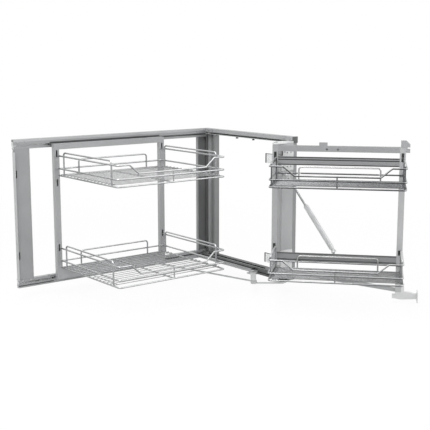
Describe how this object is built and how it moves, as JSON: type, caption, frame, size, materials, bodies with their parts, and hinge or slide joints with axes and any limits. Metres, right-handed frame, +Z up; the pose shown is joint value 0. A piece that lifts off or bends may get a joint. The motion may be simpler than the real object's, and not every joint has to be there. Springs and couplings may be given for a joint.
{
  "type": "blind corner pull out",
  "caption": "Blind corner cabinet organiser: an L-shaped rail frame, a sideways-sliding carriage with wire baskets and a pull-out basket frame that turns aside on a hinged column.",
  "frame": {"origin": "midway between the floor screws of the rear bottom rail, on its underside", "axes": "+X along the rear wing toward the side wing, +Y toward the back of the cabinet, +Z up"},
  "size_m": [1.0761, 0.9834, 0.551],
  "materials": {
    "frame_coat": "satin silver-grey powder coat",
    "carriage_coat": "satin silver-grey powder coat",
    "wire_chrome": "bright chrome-plated wire",
    "zinc": "bright zinc plating",
    "dark_nylon": "matt dark nylon",
    "bracket_grey": "light grey satin coat",
    "damper_grey": "pale grey satin tube"
  },
  "bodies": {
    "frame": {"rear_top_rail": "frame_coat", "rear_bottom_rail": "frame_coat", "rear_left_post": "frame_coat", "left_edge_strip": "frame_coat", "rear_right_post": "frame_coat", "side_top_rail": "frame_coat", "side_bottom_rail": "frame_coat", "side_rear_post": "frame_coat", "side_front_post": "frame_coat", "rail_end_cap": "bracket_grey", "rail_stops": "dark_nylon", "foot_roller": "dark_nylon", "frame_screws": "zinc", "lever_bracket": "zinc", "lever_nut": "zinc"},
    "rear_carriage": {"rear_left_upright": "carriage_coat", "rear_right_upright": "carriage_coat", "rear_top_bar": "carriage_coat", "rear_bottom_plate": "carriage_coat", "rear_glide_arms": "zinc", "rear_glides": "dark_nylon", "rear_upper_basket": "wire_chrome", "rear_upper_floor": "wire_chrome", "rear_lower_basket": "wire_chrome", "rear_lower_floor": "wire_chrome", "rear_link_pin": "zinc"},
    "link": {"link_rod": "zinc"},
    "lever": {"link_lever": "zinc", "lever_buffer": "zinc"},
    "front_carriage": {"column": "carriage_coat", "column_top_arm": "carriage_coat", "column_bottom_arm": "carriage_coat", "column_glides": "dark_nylon", "hinge_plate_upper": "zinc", "hinge_plate_lower": "zinc", "hinge_pins": "zinc", "plate_screws": "zinc", "damper_stud": "zinc"},
    "swing_frame": {"swing_hinge_post": "carriage_coat", "swing_outer_post": "carriage_coat", "swing_top_bar": "carriage_coat", "upper_support_bar": "carriage_coat", "lower_support_bar": "carriage_coat", "lower_brace": "carriage_coat", "front_upper_basket": "wire_chrome", "front_upper_floor": "wire_chrome", "front_lower_basket": "wire_chrome", "front_lower_floor": "wire_chrome", "door_bracket_upper": "bracket_grey", "door_bracket_lower": "bracket_grey", "damper_ball": "zinc"},
    "damper_body": {"damper_cylinder": "damper_grey"},
    "damper_piston": {"damper_rod": "wire_chrome", "damper_cup": "damper_grey"}
  },
  "joints": [
    {"name": "pull_out", "type": "slide", "parent": "frame", "child": "front_carriage", "axis": [0, 1, 0], "range_m": [0, 0.435]},
    {"name": "swing_turn", "type": "hinge", "parent": "front_carriage", "child": "swing_frame", "pos_m": [0.305, -0.5195, 0.26], "axis": [0, 0, 1], "range_deg": [-41.5, 0]},
    {"name": "rear_slide", "type": "slide", "parent": "frame", "child": "rear_carriage", "axis": [1, 0, 0], "range_m": [-0.132, 0]},
    {"name": "lever_turn", "type": "hinge", "parent": "frame", "child": "lever", "pos_m": [0.358, -0.3455, 0.006], "axis": [0, 0, 1], "range_deg": [-17.42, 0]},
    {"name": "link_turn", "type": "hinge", "parent": "rear_carriage", "child": "link", "pos_m": [0.146, -0.0295, 0.012], "axis": [0, 0, 1], "range_deg": [0, 13.5]},
    {"name": "damper_turn", "type": "hinge", "parent": "swing_frame", "child": "damper_body", "pos_m": [0.4445, -0.67113, 0.126], "axis": [-0.9463, -0.065, -0.3166], "range_deg": [0, 4.96]},
    {"name": "damper_stroke", "type": "slide", "parent": "damper_body", "child": "damper_piston", "axis": [-0.3112, 0.4471, 0.8386], "range_m": [0, 0.0162]}
  ],
  "couplings": [
    {"joint": "swing_turn", "follows": "pull_out", "rad_per_m": -1.6651},
    {"joint": "rear_slide", "follows": "pull_out", "ratio": -0.30345},
    {"joint": "lever_turn", "follows": "pull_out", "rad_per_m": -0.69869},
    {"joint": "link_turn", "follows": "pull_out", "rad_per_m": 0.54133},
    {"joint": "damper_turn", "follows": "pull_out", "rad_per_m": 0.19859},
    {"joint": "damper_stroke", "follows": "pull_out", "ratio": 0.036998}
  ]
}
